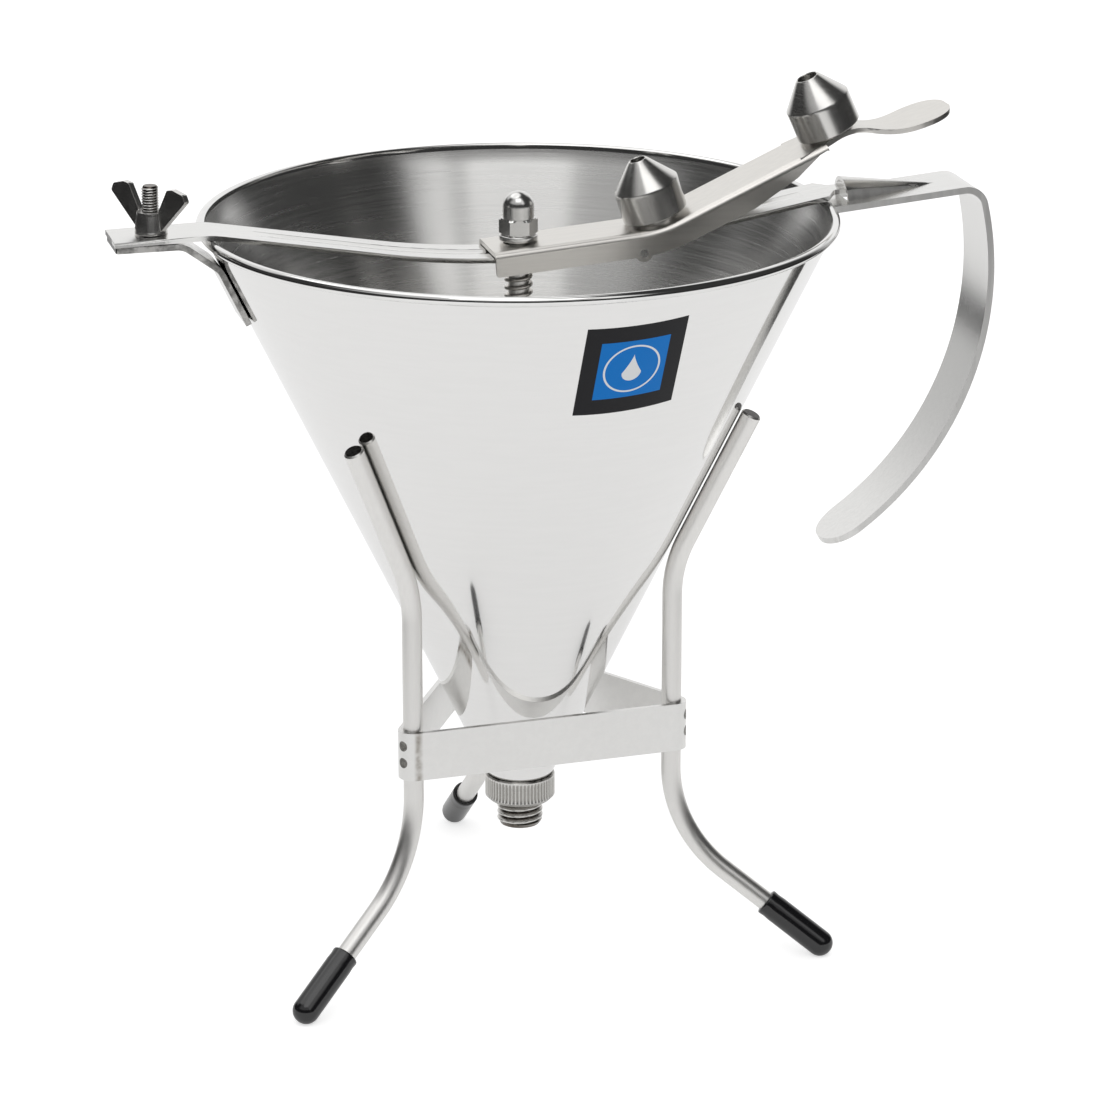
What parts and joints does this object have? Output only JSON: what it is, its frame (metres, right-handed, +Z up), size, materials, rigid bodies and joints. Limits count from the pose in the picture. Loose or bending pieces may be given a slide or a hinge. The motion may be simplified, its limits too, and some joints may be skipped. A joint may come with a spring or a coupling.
{
  "type": "piston funnel",
  "caption": "Conical steel batter funnel with a sprung piston valve, a thumb lever on a clamped cross bar, a strap handle and a wire stand.",
  "frame": {"origin": "on the table that the stand's feet rest on, straight below the funnel's axis", "axes": "+Z up along the funnel's axis, +X along the cross bar towards the handle and the thumb lever, +Y away from the side that faces the viewer"},
  "size_m": [0.2671, 0.1928, 0.2663],
  "materials": {
    "bowl_steel": "mirror-polished outside, turned grain inside",
    "strap_steel": "satin strip with bright edges",
    "band_steel": "polished strip with plug welds",
    "rod_steel": "drawn and polished rod",
    "turned_steel": "fine turned",
    "bright_steel": "bright polished",
    "spring_steel": "drawn wire",
    "cap_vinyl": "glossy dipped vinyl",
    "seal_rubber": "matte"
  },
  "bodies": {
    "stand": {"stand_band": "band_steel", "leg_left": "rod_steel", "leg_right": "rod_steel", "leg_rear": "rod_steel", "foot_cap_left": "cap_vinyl", "foot_cap_right": "cap_vinyl", "foot_cap_rear": "cap_vinyl"},
    "funnel": {"funnel_bowl": "bowl_steel", "outlet_collar": "turned_steel", "bar_bracket": "strap_steel", "clamp_stud": "bright_steel", "cross_bar": "strap_steel", "pivot_saddle": "strap_steel", "handle_strap": "strap_steel"},
    "wing_nut": {"wing_nut": "bright_steel"},
    "lever": {"lever_channel": "strap_steel", "pivot_pin": "bright_steel", "nozzle_peg_small": "turned_steel", "nozzle_peg_large": "turned_steel"},
    "nozzle_small": {"nozzle_small": "turned_steel"},
    "nozzle_large": {"nozzle_large": "turned_steel"},
    "piston": {"piston_rod": "rod_steel", "cap_nut": "bright_steel", "rod_washer": "bright_steel", "spring_seat": "bright_steel", "spring_pin": "bright_steel", "valve_plug": "turned_steel", "return_spring": "spring_steel"},
    "coupling": {"outlet_coupling": "turned_steel", "outlet_seal": "seal_rubber"}
  },
  "joints": [
    {"name": "funnel_lift", "type": "slide", "parent": "stand", "child": "funnel", "axis": [0, 0, 1], "range_m": [0, 0.15]},
    {"name": "wing_nut_turn", "type": "hinge", "parent": "funnel", "child": "wing_nut", "pos_m": [-0.1095, 0, 0.23343], "axis": [0, 0, 1], "continuous": true},
    {"name": "lever_tilt", "type": "hinge", "parent": "funnel", "child": "lever", "pos_m": [0.0358, 0, 0.21695], "axis": [0, 1, 0], "range_deg": [0, 8.5], "stiffness_Nm_per_rad": 1.03, "springref_deg": -9.74},
    {"name": "piston_slide", "type": "slide", "parent": "funnel", "child": "piston", "axis": [0, 0, 1], "range_m": [0, 0.0055], "deforming": ["return_spring"]},
    {"name": "nozzle_small_turn", "type": "hinge", "parent": "lever", "child": "nozzle_small", "pos_m": [0.042, 0, 0.22635], "axis": [-0.3223, 0, 0.9466], "continuous": true},
    {"name": "nozzle_large_turn", "type": "hinge", "parent": "lever", "child": "nozzle_large", "pos_m": [0.0957, 0, 0.24887], "axis": [-0.4077, 0, 0.9131], "continuous": true},
    {"name": "coupling_turn", "type": "hinge", "parent": "funnel", "child": "coupling", "pos_m": [0, 0, 0.0488], "axis": [0, 0, 1], "continuous": true}
  ],
  "couplings": [
    {"joint": "piston_slide", "follows": "lever_tilt", "m_per_rad": 0.0358}
  ]
}
